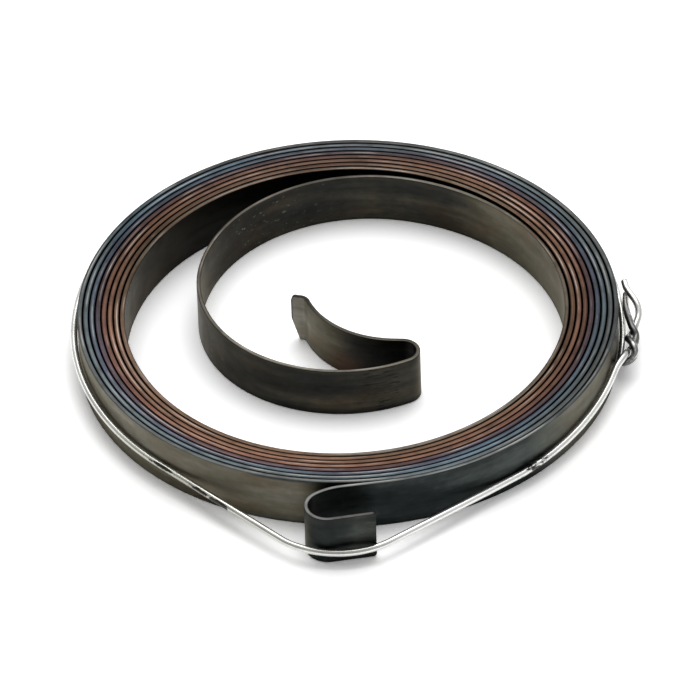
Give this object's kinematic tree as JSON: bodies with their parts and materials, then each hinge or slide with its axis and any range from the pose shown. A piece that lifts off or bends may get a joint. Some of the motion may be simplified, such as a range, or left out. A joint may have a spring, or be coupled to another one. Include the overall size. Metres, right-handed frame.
{
  "type": "recoil starter spring",
  "caption": "Flat steel spiral spring with a hooked outer end and a loose hooked inner loop, held wound by a twisted tie wire; it rewinds the pulley of a pull starter.",
  "frame": {"origin": "on the coil's axis, at the level of the strip's lower edge", "axes": "+Z along the coil's axis, across the strip's width; the outer hook lies towards -Y and the tie's twist towards +X"},
  "size_m": [0.0838, 0.0895, 0.008],
  "materials": {
    "spring_steel": "dark rolled spring steel with temper colours on the edges",
    "galvanised_wire": "bright galvanised wire"
  },
  "bodies": {
    "root": {"spring": "spring_steel", "tie_wire": "galvanised_wire"}
  },
  "joints": []
}
